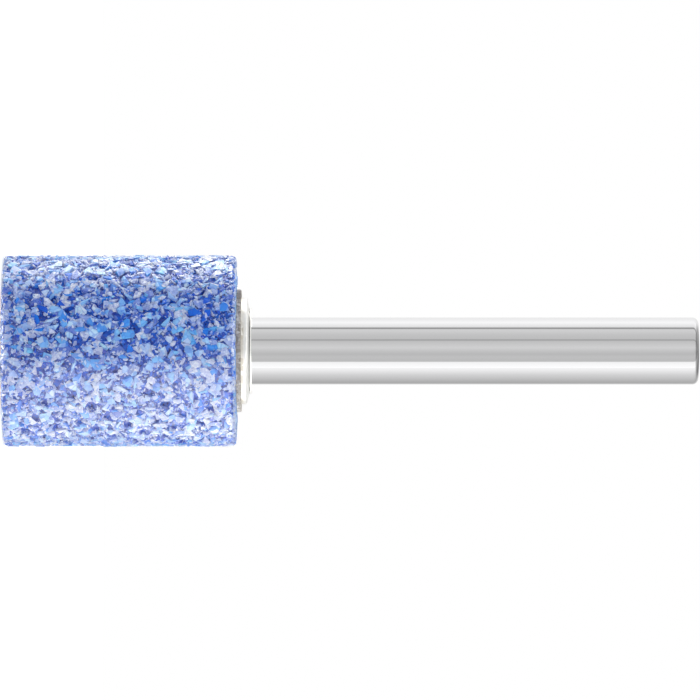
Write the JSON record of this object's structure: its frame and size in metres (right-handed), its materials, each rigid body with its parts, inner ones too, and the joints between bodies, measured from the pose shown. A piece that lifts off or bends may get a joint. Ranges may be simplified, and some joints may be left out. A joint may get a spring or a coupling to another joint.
{
  "type": "mounted point",
  "caption": "Cylindrical mounted grinding point: a blue vitrified abrasive head bonded with cement and a stepped collar onto a ground steel shank.",
  "frame": {"origin": "centre of the head's flat front face, on which the point stands", "axes": "+Z along the shank, from the head's front face to the shank's free end"},
  "size_m": [0.0172, 0.0172, 0.0622],
  "materials": {
    "abrasive": "coarse vitrified grain, sky blue, deep blue and white chips with open pores",
    "cement": "grainy beige cement",
    "collar": "smooth satin off-white",
    "steel": "centreless ground, bright"
  },
  "bodies": {
    "root": {"abrasive_head": "abrasive", "bonding_cement": "cement", "shank_collar": "collar", "steel_shank": "steel"}
  },
  "joints": []
}
